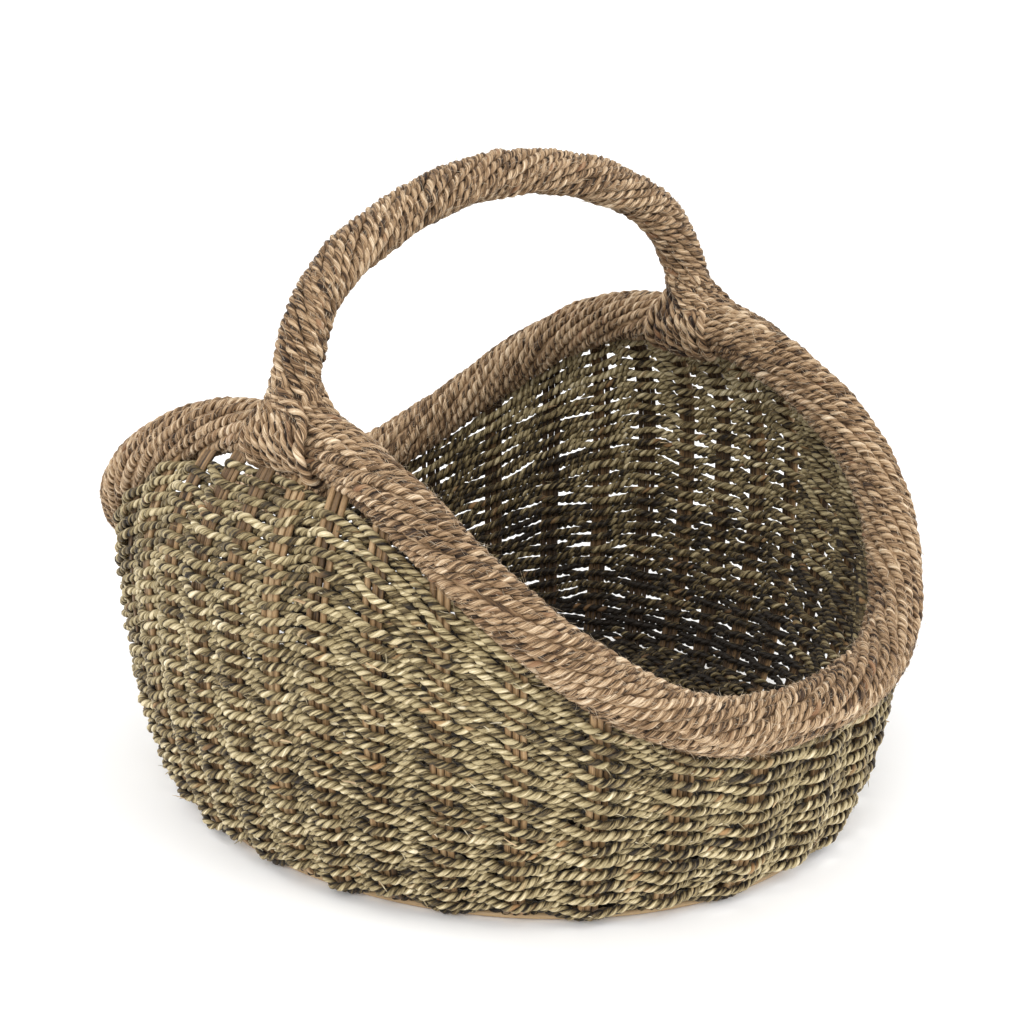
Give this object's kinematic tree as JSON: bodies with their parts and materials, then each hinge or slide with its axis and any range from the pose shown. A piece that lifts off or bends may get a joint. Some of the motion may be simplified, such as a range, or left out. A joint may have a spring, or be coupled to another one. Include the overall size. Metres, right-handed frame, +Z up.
{
  "type": "storage basket",
  "caption": "Oval woven storage basket with a roped rim that rises to the feet of a fixed arched handle and dips to an open mouth at each end.",
  "frame": {"origin": "centre of the base on the floor, under the middle of the bowl", "axes": "+X towards the right handle foot, -Y towards the front mouth, +Z up"},
  "size_m": [0.3344, 0.3892, 0.2872],
  "materials": {
    "cane": "peeled rattan cane, pale tan, semi-matt",
    "seagrass": "twisted two-ply seagrass rope, khaki green with straw highlights",
    "rope": "fibrous brown twisted rope"
  },
  "bodies": {
    "root": {"foot_hoop": "cane", "base_sticks": "cane", "base_weave": "seagrass", "stake_01": "cane", "stake_02": "cane", "stake_03": "cane", "stake_04": "cane", "stake_05": "cane", "stake_06": "cane", "stake_07": "cane", "stake_08": "cane", "stake_09": "cane", "stake_10": "cane", "stake_11": "cane", "stake_12": "cane", "stake_13": "cane", "stake_14": "cane", "stake_15": "cane", "stake_16": "cane", "stake_17": "cane", "stake_18": "cane", "stake_19": "cane", "stake_20": "cane", "stake_21": "cane", "stake_22": "cane", "stake_23": "cane", "stake_24": "cane", "stake_25": "cane", "stake_26": "cane", "stake_27": "cane", "stake_28": "cane", "stake_29": "cane", "stake_30": "cane", "stake_31": "cane", "stake_32": "cane", "stake_33": "cane", "stake_34": "cane", "stake_35": "cane", "stake_36": "cane", "course_01": "seagrass", "course_02": "seagrass", "course_03": "seagrass", "course_04": "seagrass", "course_05": "seagrass", "course_06": "seagrass", "course_07": "seagrass", "course_08": "seagrass", "course_09": "seagrass", "course_10": "seagrass", "course_11": "seagrass", "packing_left": "seagrass", "packing_right": "seagrass", "rim_core": "cane", "rim_wrap_front": "rope", "rim_wrap_back": "rope", "handle_core": "cane", "handle_wrap_left": "rope", "handle_wrap_right": "rope", "lashing_left": "rope", "lashing_right": "rope"}
  },
  "joints": []
}
